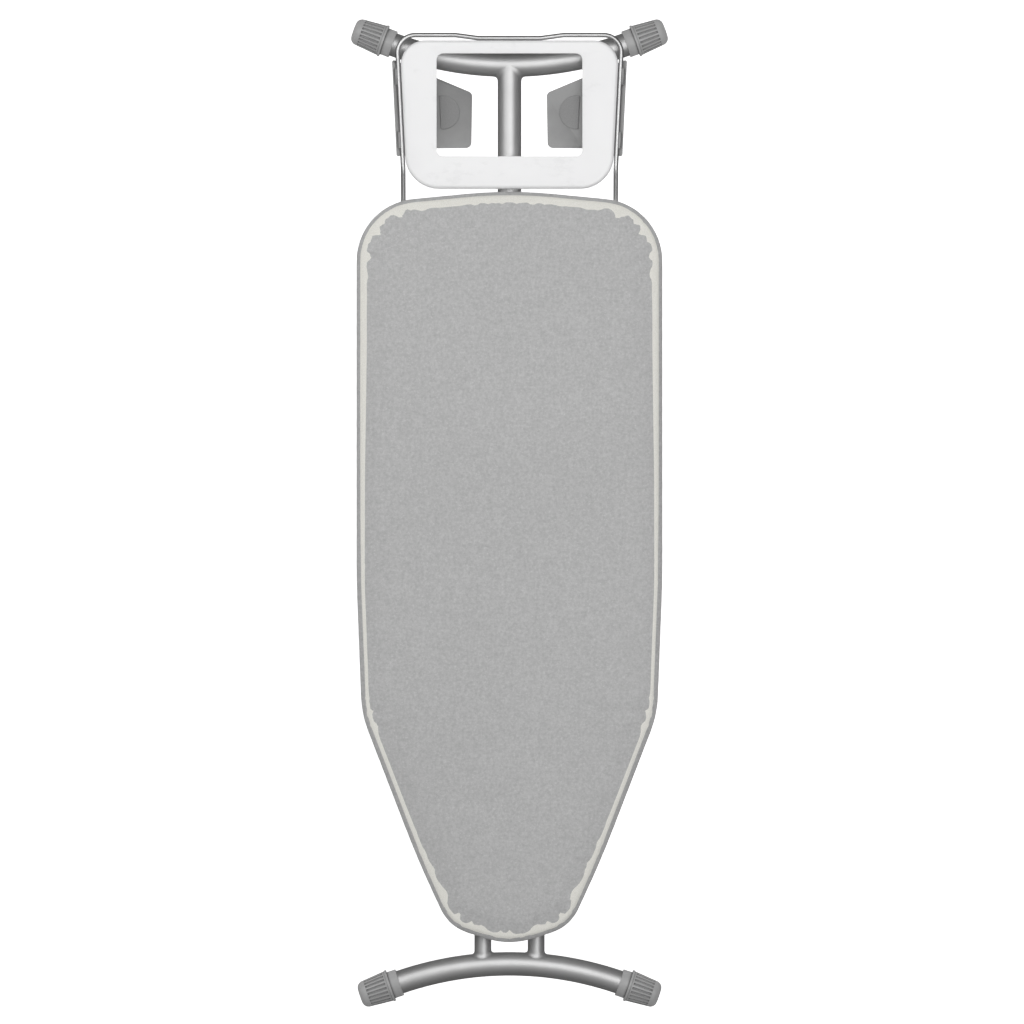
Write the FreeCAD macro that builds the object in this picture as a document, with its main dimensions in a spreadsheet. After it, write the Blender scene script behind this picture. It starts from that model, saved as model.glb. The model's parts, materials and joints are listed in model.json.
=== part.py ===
import FreeCAD, Part
import math
import os
from types import SimpleNamespace

import Sketcher
from FreeCAD import Placement, Rotation, Vector

# A folding ironing board with a T-shaped leg, a twin leg and a rest for a steam iron.
# It lies folded flat on the floor, ironing surface up. Millimetres.
# X is across the board, +Y runs to the iron rest and -Y to the nose, +Z is up.
# The origin is on the floor, under the bolt where the two legs cross.

# Driving dimensions: (alias, value, what it is)
SIZES = [
    # ironing surface, seen from above
    ("pad_width", 452, "width of the padded top"),
    ("rear_centre_y", 478, "where the two halves of the bowed rear edge would meet"),
    ("rear_drop", 22, "how far the rear edge falls back towards its corners"),
    ("rear_corner_radius", 92, "round rear corners"),
    ("side_end_y", -100, "where the parallel sides end"),
    ("shoulder_y", -297, "where the nose begins to taper"),
    ("shoulder_inset", 7.5, "how much narrower the top is at the shoulder, each side"),
    ("shoulder_radius", 160, "soft shoulder"),
    ("taper_bulge", 5, "outward bow of the tapered sides"),
    ("nose_corner_x", 89.5, "half width at the corners of the nose"),
    ("nose_corner_y", -611, "corners of the nose"),
    ("nose_corner_radius", 65, "round corners of the nose"),
    ("nose_tip_y", -639, "where the two sides of the nose tip would meet"),
    ("nose_tip_radius", 110, "round tip of the nose"),
    # layers of the top
    ("sheet_underside", 56, "height of the steel top's underside"),
    ("sheet_thickness", 1, "steel top"),
    ("skirt_depth", 9, "turned-down rim of the steel top, below its underside"),
    ("skirt_gap", 3, "cover's outside to the steel rim"),
    ("foam_thickness", 9, "foam under the cover"),
    ("cover_thickness", 1.5, "fabric cover"),
    ("foam_edge_radius", 8, "soft edge of the foam"),
    ("hem_width", 22, "cover tucked in under the rim"),
    ("hem_gap", 1, "rim to the tucked hem"),
    ("vent_radius", 7, "vent holes in the steel top"),
    ("vent_pitch", 46, "spacing of the vent holes"),
    # stiffening ribs under the steel top
    ("rib_depth", 10, "hat-section ribs"),
    ("rib_width", 30, "over the two flanges"),
    ("rib_flange", 7, "each flange"),
    ("rib_wall", 1.2, "rib sheet"),
    ("rib_rear_gap", 12, "rear rib to the folded slide pins"),
    ("rib_middle_y", 250, "rib at the middle of the rails"),
    ("rib_front_gap", 21, "front rib to the slide pins at full height"),
    ("rib_hinge_gap", 65, "ribs behind and in front of the hinge, from its pin"),
    # folding geometry
    ("leg_height", 24, "height of the leg axes when folded"),
    ("upper_arm", 415, "crossing bolt to either upper pivot"),
    ("t_foot_y", 664, "middle of the T-leg's foot"),
    ("twin_foot_y", 668, "middle of the twin leg's foot, towards the nose"),
    ("open_angle", 52, "fold angle at the highest setting"),
    # tubes
    ("t_tube_radius", 17.5, "single tube of the T-leg"),
    ("twin_tube_radius", 12.5, "tubes of the twin leg"),
    ("twin_tube_x", 39.5, "half spacing of the twin tubes"),
    ("foot_tube_radius", 17.5, "feet"),
    ("tube_wall", 1.5, "all tubes"),
    ("foot_bend_radius", 500, "bend of both feet"),
    ("t_foot_angle", 20.2, "half the bend of the T-leg's foot"),
    ("twin_foot_angle", 19, "half the bend of the twin leg's foot"),
    ("foot_stub", 37, "straight tube inside each cap"),
    ("t_tube_overrun", 14, "T-leg tube past its hinge"),
    ("twin_tube_overrun", 10.5, "twin tubes past their slide pins"),
    # foot caps
    ("cap_length", 62, "end cap"),
    ("cap_bore_depth", 38, "tube socket"),
    ("collar_wall", 2.8, "smooth collar"),
    ("collar_length", 14, "smooth collar"),
    ("cap_ring_width", 3, "raised ring that stands on the floor when folded"),
    ("cap_tip_wall", 1.5, "tapered end, past the tube's radius"),
    ("cap_nose_radius", 10, "rounding of the end"),
    ("cap_groove_radius", 1.7, "grip grooves"),
    ("cap_grooves", 22, "grip grooves round each cap"),
    # hinge of the T-leg
    ("hinge_pin_radius", 5, "hinge pin and crossing bolt"),
    ("bush_radius", 7, "plastic bushes in the T-leg"),
    ("bush_overhang", 1, "bush past the tube, each side"),
    ("running_fit", 0.1, "radial play of every pin in its bore"),
    ("side_play", 0.5, "play at each side of a moving piece"),
    ("bracket_wall", 2, "hinge bracket"),
    ("bracket_length", 50, "hinge bracket along the board"),
    ("bracket_drop", 12, "bracket below the hinge pin"),
    ("bracket_flange", 16, "riveted flanges"),
    ("pin_head_radius", 8, "head of the hinge pin"),
    ("pin_head_thickness", 2.5, "head of the hinge pin"),
    ("rivet_radius", 2.4, "rivets"),
    ("rivet_head_radius", 4.5, "rivet heads"),
    ("rivet_head_height", 2, "rivet heads"),
    ("bolt_head_width", 17, "across the flats of the crossing bolt"),
    ("bolt_head_thickness", 6, "bolt head and nut"),
    ("washer_radius", 10, "washers under bolt head and nut"),
    ("washer_thickness", 1.5, "washers"),
    ("spacer_radius", 11, "spacers between the legs"),
    # rails and carriage
    ("rail_inner_x", 62, "open side of each rail"),
    ("rail_outer_x", 80, "back of each rail"),
    ("rail_wall", 1.5, "rail sheet"),
    ("rail_bottom", 10, "underside of the rails"),
    ("rail_front_gap", 34, "rails past the slide pins at full height"),
    ("rail_rear_gap", 27, "rails past the folded slide pins"),
    ("rail_slot_margin", 8, "slot past the pin's travel"),
    ("slide_pin_radius", 6, "slide pins"),
    ("slide_pin_lip", 1.5, "right-hand pin past the comb"),
    ("slider_length", 40, "sliding block"),
    ("yoke_thickness", 1.5, "strip that joins the sliding blocks"),
    ("yoke_width", 30, "strip that joins the sliding blocks"),
    ("end_plug_length", 6, "plugs in the rail ends"),
    ("screw_radius", 2, "yoke and clamp screws"),
    ("screw_head_radius", 3.5, "yoke and clamp screws"),
    ("screw_depth", 12, "yoke screws in the blocks"),
    # height lock
    ("rod_radius", 4, "release rod"),
    ("rod_front_y", -12, "release rod at the handle"),
    ("rod_head_room", 1, "release rod under the ribs"),
    ("comb_gap", 6, "rail to comb when locked"),
    ("comb_thickness", 2, "toothed comb"),
    ("comb_depth", 26, "tooth tips below the rod's axis"),
    ("notch_play", 1, "notch each side of the pin"),
    ("notch_pitch", 39, "spacing of the heights"),
    ("notch_count", 6, "heights"),
    ("release_angle", 24, "lever travel"),
    ("handle_width", 40, "handle along the board"),
    ("handle_reach", 95, "handle from the rod"),
    ("handle_thickness", 5, "handle"),
    ("hub_radius", 7.5, "handle's hub"),
    ("bearing_length", 10, "rod bearings"),
    ("spring_wire_radius", 0.8, "lever return spring"),
    ("spring_turns", 6, "lever return spring"),
    # iron rest
    ("wire_radius", 3.4, "bent wire of the rest"),
    ("wire_x_front", 157, "half spacing of the wire where it leaves the board"),
    ("wire_x_rear", 166.6, "half spacing of the wire at its rear corners"),
    ("wire_height_low", 40.5, "wire under the board"),
    ("wire_height_high", 54.5, "wire beside the rest"),
    ("wire_start_y", 228, "wire ends under the board"),
    ("wire_level_y", 508, "wire is level again"),
    ("wire_rear_y", 706, "rear run of the wire"),
    ("wire_corner_radius", 26, "rear corners"),
    ("wire_bend_radius", 14, "small bends"),
    ("joggle_half_width", 46, "middle of the rear run, set in towards the plate"),
    ("joggle_length", 34, "slant at each end of the set-in stretch"),
    ("plate_gap", 0.4, "rest plate to the side wires"),
    ("plate_front_y", 479, "rest plate"),
    ("plate_rear_y", 698, "rest plate"),
    ("plate_top", 62, "height of the rest plate"),
    ("plate_thickness", 1.5, "rest plate sheet"),
    ("plate_rim", 8, "rolled-down rim"),
    ("plate_front_radius", 50, "front corners of the plate"),
    ("plate_rear_radius", 36, "rear corners of the plate"),
    ("plate_edge_radius", 5, "roll of the rim"),
    ("window_width", 215, "opening in the plate"),
    ("window_front_y", 526.6, "opening in the plate"),
    ("window_rear_y", 678.5, "opening in the plate"),
    ("window_corner_radius", 10, "opening in the plate"),
    ("window_rim", 5, "turned-down lip of the opening"),
    ("clamp_width", 34, "clamps of the rest wire"),
    ("clamp_length", 20, "clamps of the rest wire"),
    ("clamp_floor", 2, "clamp below the wire"),
    ("clamp_screw_x", 11, "clamp screws from the wire"),
    # flaps under the rest
    ("flap_start_y", 528, "front end of each flap at its hinge wire"),
    ("flap_length", 140, "flap at its hinge wire"),
    ("flap_reach", 111, "flap from its hinge wire to its inner edge"),
    ("flap_neck", 49, "hinge side of the flap, from its wire to where the tongue begins"),
    ("flap_corner_radius", 8, "soft corners of the flap"),
    ("flap_thickness", 2.5, "flap"),
    ("flap_slope", 12.6, "flap falls towards the middle"),
    ("flap_lip", 7.6, "flap past its hinge wire"),
    ("eye_wall", 1.9, "hinge eyes round the wire"),
    ("eye_length", 24, "hinge eyes"),
    ("eye_setback", 11, "eyes from the ends of the flap"),
    ("flap_pad_radius", 25, "soft pad on each flap"),
    ("flap_pad_flat", 4.5, "flat side of the pad from its centre"),
    ("flap_pad_thickness", 2, "soft pad"),
]

doc = FreeCAD.newDocument("ironing_board")
sheet = doc.addObject("Spreadsheet::Sheet", "Sizes")


class Size:
    """A number, and the spreadsheet formula that gives it."""

    def __init__(self, value, formula):
        self.value = float(value)
        self.formula = formula

    def __float__(self):
        return self.value

    def __add__(self, other):
        other = as_size(other)
        return Size(self.value + other.value, f"({self.formula} + {other.formula})")

    def __sub__(self, other):
        other = as_size(other)
        return Size(self.value - other.value, f"({self.formula} - {other.formula})")

    def __mul__(self, other):
        other = as_size(other)
        return Size(self.value * other.value, f"({self.formula} * {other.formula})")

    def __truediv__(self, other):
        other = as_size(other)
        return Size(self.value / other.value, f"({self.formula} / {other.formula})")

    def __rsub__(self, other):
        return as_size(other) - self

    def __neg__(self):
        return as_size(0) - self

    __radd__ = __add__
    __rmul__ = __mul__


def as_size(number):
    return number if isinstance(number, Size) else Size(number, f"{float(number):.6f}")


def sine(angle):
    return Size(math.sin(math.radians(angle)), f"sin({angle.formula})")


def cosine(angle):
    return Size(math.cos(math.radians(angle)), f"cos({angle.formula})")


def fill_sheet():
    """Put the driving dimensions in the sheet and hand them back by name."""
    for row, (alias, value, note) in enumerate(SIZES, start=1):
        sheet.set(f"A{row}", alias)
        sheet.set(f"B{row}", str(value))
        sheet.set(f"C{row}", note)
        sheet.setAlias(f"B{row}", alias)
    doc.recompute()
    cells = {alias: Size(getattr(sheet, alias), f"Sizes.{alias}") for alias, _, _ in SIZES}
    return SimpleNamespace(**cells)


n = fill_sheet()
SIDES = (("left", -1), ("right", 1))
BIG = 2000.0  # longer than any cut that goes right through

# Places that several pieces share
SURFACE_TOP = n.sheet_underside + n.sheet_thickness + n.foam_thickness + n.cover_thickness
RIB_BOTTOM = n.sheet_underside - n.rib_depth
HEM_TOP = n.sheet_underside - n.skirt_depth - n.hem_gap
HINGE_Y = -n.upper_arm
OPEN_SLIDE_Y = 2 * n.upper_arm * cosine(n.open_angle) - n.upper_arm
RIB_REAR_Y = n.upper_arm - n.rib_rear_gap
RIB_FRONT_Y = OPEN_SLIDE_Y - n.rib_front_gap
RIB_WAIST_Y = HINGE_Y + n.rib_hinge_gap
RIB_NOSE_Y = HINGE_Y - n.rib_hinge_gap
RAIL_FRONT_Y = OPEN_SLIDE_Y - n.rail_front_gap
RAIL_REAR_Y = n.upper_arm + n.rail_rear_gap
WIRE_RISE_Y = n.rear_centre_y - 2 * n.rear_drop * n.wire_x_front / n.pad_width
BRACKET_INNER_X = n.t_tube_radius + n.bush_overhang + n.side_play
BRACKET_OUTER_X = BRACKET_INNER_X + n.bracket_wall
RAIL_TOP = RIB_BOTTOM
SLIDER_TOP = RAIL_TOP - n.rail_wall - n.side_play - n.yoke_thickness
SLIDER_BOTTOM = n.rail_bottom + n.rail_wall + n.side_play
SLIDER_INNER_X = n.rail_inner_x + n.side_play
SLIDER_OUTER_X = n.rail_outer_x - n.rail_wall - n.side_play
COMB_X = n.rail_outer_x + n.comb_gap + n.comb_thickness / 2
ROD_HEIGHT = RIB_BOTTOM - n.rod_head_room - n.rod_radius
PIN_OUTER_X = COMB_X + n.comb_thickness / 2 + n.slide_pin_lip


# Shared ways of making a piece

def bind(thing, name, size):
    """Tie one property to its formula in the sheet."""
    thing.setExpression(name, as_size(size).formula)


def new_body(label):
    body = doc.addObject("PartDesign::Body", label)
    body.Label = label
    return body


def sketch_on(body, role, height=0):
    """A sketch on one origin plane of the body, moved along the plane's normal."""
    plane = next(f for f in body.Origin.OriginFeatures if f.Role == role)
    sketch = body.newObject("Sketcher::SketchObject", "Sketch")
    sketch.AttachmentSupport = [(plane, "")]
    sketch.MapMode = "FlatFace"
    bind(sketch, "AttachmentOffset.Base.z", height)
    return sketch


def tie_point(sketch, index, end, x, y):
    """Hold one point of a sketch at formulas for its two coordinates."""
    for kind, size in (("DistanceX", x), ("DistanceY", y)):
        value = float(as_size(size))
        number = sketch.addConstraint(Sketcher.Constraint(kind, -1, 1, index, end, value))
        bind(sketch, f"Constraints[{number}]", size)


def polygon(sketch, points):
    """A closed outline of straight lines."""
    places = [Vector(float(x), float(y), 0) for x, y in points]
    first = sketch.GeometryCount
    count = len(places)
    for i in range(count):
        sketch.addGeometry(Part.LineSegment(places[i], places[(i + 1) % count]), False)
    for i in range(count):
        after = first + (i + 1) % count
        sketch.addConstraint(Sketcher.Constraint("Coincident", first + i, 2, after, 1))
        tie_point(sketch, first + i, 1, *points[i])


def circle(sketch, x, y, radius):
    centre = Vector(float(as_size(x)), float(as_size(y)), 0)
    index = sketch.addGeometry(Part.Circle(centre, Vector(0, 0, 1), float(as_size(radius))), False)
    tie_point(sketch, index, 3, x, y)
    value = float(as_size(radius))
    number = sketch.addConstraint(Sketcher.Constraint("Radius", index, value))
    bind(sketch, f"Constraints[{number}]", radius)


def pad(body, sketch, length, symmetric=False):
    feature = body.newObject("PartDesign::Pad", "Pad")
    feature.Profile = sketch
    feature.SideType = "Symmetric" if symmetric else "One side"
    bind(feature, "Length", length)
    doc.recompute()
    return feature


def cut_through(body, sketch):
    """Cut the sketch's outline right through the body, both ways."""
    before = body.Shape.Volume
    feature = body.newObject("PartDesign::Pocket", "Pocket")
    feature.Profile = sketch
    feature.SideType = "Symmetric"
    feature.Length = BIG
    doc.recompute()
    if body.Shape.Volume >= before:
        raise ValueError(f"a cut in {body.Label} removed nothing")
    return feature


def bore(body, role, radius, *centres):
    """Round holes through the body, square to one of its planes."""
    sketch = sketch_on(body, role)
    for x, y in centres:
        circle(sketch, x, y, radius)
    return cut_through(body, sketch)


def round_edges(body, radius, chosen):
    """Fillet the edges that the test picks out."""
    doc.recompute()
    names = [f"Edge{i}" for i, edge in enumerate(body.Shape.Edges, start=1) if chosen(edge)]
    if not names:
        raise ValueError(f"no edges to round on {body.Label}")
    base = body.Tip
    feature = body.newObject("PartDesign::Fillet", "Fillet")
    feature.Base = (base, names)
    bind(feature, "Radius", radius)
    doc.recompute()
    return feature


def along(edge, axis):
    """True for a straight edge that runs along the given axis."""
    return edge.Curve.TypeId == "Part::GeomLine" and abs(edge.tangentAt(edge.FirstParameter) * axis) > 0.999


def place(thing, x=0, y=0, z=0, axis=None, angle=0):
    """Tie a piece's place, and its turn about one axis, to the sheet."""
    turn = Rotation(axis, float(as_size(angle))) if axis else Rotation()
    thing.Placement = Placement(Vector(*(float(as_size(v)) for v in (x, y, z))), turn)
    for letter, size in zip("xyz", (x, y, z)):
        bind(thing, f"Placement.Base.{letter}", size)
    if axis:
        bind(thing, "Placement.Rotation.Angle", angle)


def turned(label, profile, x=0, y=0, z=0):
    """A piece turned about a line along X. The profile's points are (along, radius)."""
    body = new_body(label)
    sketch = sketch_on(body, "XY_Plane")
    polygon(sketch, profile)
    feature = body.newObject("PartDesign::Revolution", "Revolution")
    feature.Profile = sketch
    feature.ReferenceAxis = (sketch, ["H_Axis"])
    feature.Angle = 360
    doc.recompute()
    place(body, x, y, z)
    return body


def extruded(label, role, points, height, length, symmetric=True):
    """A piece with one outline all along its length."""
    body = new_body(label)
    sketch = sketch_on(body, role, height)
    polygon(sketch, points)
    pad(body, sketch, length, symmetric)
    return body


def rectangle(x_low, x_high, y_low, y_high):
    return [(x_low, y_low), (x_high, y_low), (x_high, y_high), (x_low, y_high)]


def group(label, shapes):
    """One node that holds several identical loose pieces."""
    feature = doc.addObject("Part::Feature", label)
    feature.Label = label
    feature.Shape = Part.makeCompound(shapes)
    return feature


def shaped(label, shape):
    feature = doc.addObject("Part::Feature", label)
    feature.Label = label
    feature.Shape = shape
    return feature


def cylinder_between(radius, start, end):
    return Part.makeCylinder(float(radius), (end - start).Length, start, end - start)


def rounded_path(corners, closed=False):
    """Straight runs through the corners, joined by tangent arcs. Each corner is (point, radius)."""
    count = len(corners)
    trims = []
    for i, (point, radius) in enumerate(corners):
        if not closed and i in (0, count - 1):
            trims.append((point, point, point))
            continue
        before = (corners[i - 1][0] - point).normalize()
        after = (corners[(i + 1) % count][0] - point).normalize()
        half_turn = (math.pi - before.getAngle(after)) / 2
        reach = radius * math.tan(half_turn)
        bisector = (before + after).normalize()
        middle = point + bisector * (radius / math.cos(half_turn) - radius)
        trims.append((point + before * reach, middle, point + after * reach))
    edges = []
    for i in range(count if closed else count - 1):
        start, middle, end = trims[i]
        if (end - start).Length > 1e-6:
            edges.append(Part.Arc(start, middle, end).toShape())
        edges.append(Part.LineSegment(end, trims[(i + 1) % count][0]).toShape())
    return Part.Wire(edges)


# The padded top

def top_outline(inset, height):
    """Outline of the ironing surface, moved inwards by inset, at a height."""
    half = float(n.pad_width) / 2
    rear = Vector(0, float(n.rear_centre_y), height)
    corner = Vector(half, float(n.rear_centre_y - n.rear_drop), height)
    side_end = Vector(half, float(n.side_end_y), height)
    shoulder = Vector(half - float(n.shoulder_inset), float(n.shoulder_y), height)
    nose_corner = Vector(float(n.nose_corner_x), float(n.nose_corner_y), height)
    tip = Vector(0, float(n.nose_tip_y), height)
    taper = nose_corner - shoulder
    outward = Vector(-taper.y, taper.x, 0).normalize()
    bulge = shoulder + taper * 0.68 + outward * float(n.taper_bulge)
    corner_radius = float(n.rear_corner_radius)
    bow_angle = math.atan2(float(n.rear_drop), half)
    bow_radius = 0.5 * (half - corner_radius) / math.tan(bow_angle)
    gentle = 1500.0
    right = [
        (corner, corner_radius),
        (side_end, gentle),
        (shoulder, float(n.shoulder_radius)),
        (bulge, gentle),
        (nose_corner, float(n.nose_corner_radius)),
    ]
    left = [(Vector(-p.x, p.y, p.z), radius) for p, radius in reversed(right)]
    corners = [(rear, bow_radius)] + right + [(tip, float(n.nose_tip_radius))] + left
    wire = rounded_path(corners, closed=True)
    if inset:
        wire = wire.makeOffset2D(-inset)
    return wire


def top_slab(inset, low, high):
    """A flat slab of the top's outline between two heights."""
    low, high = float(low), float(high)
    return Part.Face(top_outline(float(inset), low)).extrude(Vector(0, 0, high - low))


def soft_slab(inset, low, high, radius):
    """The same slab with a soft upper edge."""
    slab = top_slab(inset, low, high)
    top = float(high)
    upper = [e for e in slab.Edges if all(abs(v.Point.z - top) < 1e-6 for v in e.Vertexes)]
    return slab.makeFillet(float(radius), upper)


def bracket_rivet_places():
    middle = float(BRACKET_OUTER_X + n.bracket_flange / 2)
    reach = float(n.bracket_length) * 0.3
    hinge_y = float(HINGE_Y)
    return [(side * middle, hinge_y + step * reach) for side in (-1, 1) for step in (-1, 1)]


def vent_holes(inset):
    """Vents on a staggered grid, clear of the rim and of the hinge bracket's rivets."""
    pitch = float(n.vent_pitch)
    radius = float(n.vent_radius)
    low = float(n.sheet_underside) - 1
    inside = Part.Face(top_outline(inset + 3 * radius, low))
    rivets = [Vector(x, y, low) for x, y in bracket_rivet_places()]
    holes = []
    rows = int(float(n.pad_width) / 2 / pitch)
    columns = int((float(n.rear_centre_y) - float(n.nose_tip_y)) / pitch)
    for column in range(columns + 1):
        y = float(n.nose_tip_y) + column * pitch
        for row in range(-rows, rows + 1):
            x = (row + 0.5 * (column % 2)) * pitch
            point = Vector(x, y, low)
            clear = all((point - rivet).Length > 2 * radius for rivet in rivets)
            if clear and inside.isInside(point, 0.01, True):
                holes.append(Part.makeCylinder(radius, float(n.sheet_thickness) + 2, point))
    return holes


def top_sheet():
    gap = float(n.skirt_gap)
    low = n.sheet_underside - n.skirt_depth
    top = n.sheet_underside + n.sheet_thickness
    shell = top_slab(gap, low, top).cut(top_slab(gap + float(n.sheet_thickness), low, n.sheet_underside))
    rivet = float(n.rivet_radius)
    rivets = [
        Part.makeCylinder(rivet, float(n.sheet_thickness) + 2, Vector(x, y, float(n.sheet_underside) - 1))
        for x, y in bracket_rivet_places()
    ]
    shaped("top_sheet", shell.cut(vent_holes(gap) + rivets))


def foam_pad():
    low = n.sheet_underside + n.sheet_thickness
    shaped("foam_pad", soft_slab(n.cover_thickness, low, low + n.foam_thickness, n.foam_edge_radius))


def cover():
    """Fabric over the foam, down the rim and tucked in below it."""
    bottom = HEM_TOP - n.cover_thickness
    outside = soft_slab(0, bottom, SURFACE_TOP, n.foam_edge_radius + n.cover_thickness)
    inside = soft_slab(n.cover_thickness, HEM_TOP, SURFACE_TOP - n.cover_thickness, n.foam_edge_radius)
    mouth = top_slab(n.hem_width, bottom - 1, HEM_TOP)
    shaped("cover", outside.cut([inside, mouth]))


def rib(label, y, half_length, screw_places=()):
    """Hat-section rib, closed side down."""
    top = n.sheet_underside
    wall = n.rib_wall
    outer = n.rib_width / 2
    web = outer - n.rib_flange
    right = [
        (web, RIB_BOTTOM),
        (web, top - wall),
        (outer, top - wall),
        (outer, top),
        (web - wall, top),
        (web - wall, RIB_BOTTOM + wall),
    ]
    left = [(-across, height) for across, height in reversed(right)]
    profile = [(y + across, height) for across, height in right + left]
    body = extruded(label, "YZ_Plane", profile, 0, 2 * half_length)
    if screw_places:
        bore(body, "XY_Plane", n.screw_radius, *((x, y) for x in screw_places))


def ribs():
    screws = [side * (n.wire_x_front + step * n.clamp_screw_x) for side in (-1, 1) for step in (-1, 1)]
    clamp_end = n.wire_x_front + n.clamp_width / 2
    rib("rib_rear", RIB_REAR_Y, clamp_end + 4, screws)
    rib("rib_middle", n.rib_middle_y, clamp_end + 24, screws)
    rib("rib_front", RIB_FRONT_Y, clamp_end + 24)
    rib("rib_waist", RIB_WAIST_Y, n.pad_width * 0.396)
    rib("rib_nose", RIB_NOSE_Y, n.nose_corner_x * 1.3)


# Rails, carriage and height lock

def rails():
    for name, side in SIDES:
        inner, outer = side * n.rail_inner_x, side * n.rail_outer_x
        web = side * (n.rail_outer_x - n.rail_wall)
        low, high = n.rail_bottom, RAIL_TOP
        profile = [
            (outer, high),
            (inner, high),
            (inner, high - n.rail_wall),
            (web, high - n.rail_wall),
            (web, low + n.rail_wall),
            (inner, low + n.rail_wall),
            (inner, low),
            (outer, low),
        ]
        length = RAIL_REAR_Y - RAIL_FRONT_Y
        body = extruded(f"rail_{name}", "XZ_Plane", profile, -RAIL_REAR_Y, length, symmetric=False)
        if side > 0:
            slot = sketch_on(body, "YZ_Plane")
            reach = n.slide_pin_radius + n.notch_play
            margin = n.rail_slot_margin
            ends = (OPEN_SLIDE_Y - margin, n.upper_arm + margin)
            polygon(slot, rectangle(*ends, n.leg_height - reach, n.leg_height + reach))
            cut_through(body, slot)


def rail_end_plugs():
    width = float(SLIDER_OUTER_X - SLIDER_INNER_X)
    height = float(RAIL_TOP - n.rail_bottom - 2 * n.rail_wall)
    length = float(n.end_plug_length)
    base = float(n.rail_bottom + n.rail_wall)
    plugs = []
    for y in (float(RAIL_FRONT_Y), float(RAIL_REAR_Y) - length):
        for x in (float(SLIDER_INNER_X), -float(SLIDER_OUTER_X)):
            plugs.append(Part.makeBox(width, length, height, Vector(x, y, base)))
    group("rail_end_plugs", plugs)


def yoke_screw_places():
    x = (SLIDER_INNER_X + SLIDER_OUTER_X) / 2
    step = n.yoke_width / 2 - n.screw_head_radius - 1
    return [(side * x, n.upper_arm + way * step) for side in (-1, 1) for way in (-1, 1)]


def carriage():
    """Two blocks that slide in the rails, and the strip that keeps them in line."""
    for (name, side), screws in zip(SIDES, (yoke_screw_places()[:2], yoke_screw_places()[2:])):
        edges = (side * SLIDER_INNER_X, side * SLIDER_OUTER_X)
        profile = rectangle(*edges, SLIDER_BOTTOM, SLIDER_TOP)
        body = extruded(f"slider_{name}", "XZ_Plane", profile, -n.upper_arm, n.slider_length)
        bore(body, "YZ_Plane", n.slide_pin_radius + n.running_fit, (n.upper_arm, n.leg_height))
        sketch = sketch_on(body, "XY_Plane", SLIDER_TOP)
        for x, y in screws:
            circle(sketch, x, y, n.screw_radius)
        hole = body.newObject("PartDesign::Pocket", "ScrewHoles")
        hole.Profile = sketch
        bind(hole, "Length", n.screw_depth)
        doc.recompute()
    half = n.yoke_width / 2
    outline = rectangle(-SLIDER_OUTER_X, SLIDER_OUTER_X, n.upper_arm - half, n.upper_arm + half)
    yoke = extruded("slide_yoke", "XY_Plane", outline, SLIDER_TOP, n.yoke_thickness, symmetric=False)
    bore(yoke, "XY_Plane", n.screw_head_radius, *yoke_screw_places())
    screws = []
    for x, y in yoke_screw_places():
        foot = Vector(float(x), float(y), float(SLIDER_TOP - n.screw_depth))
        neck = Vector(float(x), float(y), float(SLIDER_TOP))
        shank = cylinder_between(n.screw_radius, foot, neck)
        head = Part.makeCylinder(float(n.screw_head_radius), float(n.yoke_thickness), neck)
        screws.append(shank.fuse(head))
    group("yoke_screws", screws)


def comb_notches():
    """Where the pin rests: one notch for each height, and one for carrying it folded."""
    count = int(float(n.notch_count))
    return [OPEN_SLIDE_Y + step * n.notch_pitch for step in range(count)] + [n.upper_arm]


def lever():
    """Handle, rod and comb turn together. At rest the handle is squeezed and the comb is clear."""
    reach = n.slide_pin_radius + n.notch_play
    roof = n.leg_height + reach - ROD_HEIGHT + 1
    tip = -n.comb_depth
    front = OPEN_SLIDE_Y - reach - 5
    rear = n.upper_arm + reach + 6
    profile = [(rear, -n.rod_radius), (front, -n.rod_radius), (front, tip)]
    for y in comb_notches():
        profile += [(y - reach, tip), (y - reach, roof), (y + reach, roof), (y + reach, tip)]
    profile.append((rear, tip))
    comb = extruded("lock_comb", "YZ_Plane", profile, 0, n.comb_thickness)
    place(comb, COMB_X, 0, ROD_HEIGHT, Vector(0, 1, 0), -n.release_angle)

    rod = doc.addObject("Part::Cylinder", "release_rod")
    rod.Label = "release_rod"
    bind(rod, "Radius", n.rod_radius)
    bind(rod, "Height", RAIL_REAR_Y - n.rod_front_y)
    place(rod, COMB_X, RAIL_REAR_Y, ROD_HEIGHT, Vector(1, 0, 0), as_size(90))

    thick = n.handle_thickness
    arm = [
        (0, -n.hub_radius),
        (n.handle_reach * 0.25, -thick * 0.4),
        (n.handle_reach, thick),
        (n.handle_reach, 2 * thick),
        (n.handle_reach - 6, 2 * thick),
        (n.handle_reach * 0.25, thick * 0.9),
        (0, n.hub_radius),
    ]
    middle = n.rod_front_y + n.handle_width / 2
    handle = extruded("lever_handle", "XZ_Plane", arm, -middle, n.handle_width)
    hub = sketch_on(handle, "XZ_Plane", -middle)
    circle(hub, 0, 0, n.hub_radius)
    pad(handle, hub, n.handle_width, symmetric=True)
    bore(handle, "XZ_Plane", n.rod_radius, (0, 0))
    far = float(n.handle_reach)
    round_edges(handle, 2, lambda e: along(e, Vector(0, 1, 0)) and e.Vertexes[0].Point.x > far - 1)
    place(handle, COMB_X, 0, ROD_HEIGHT)


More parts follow.
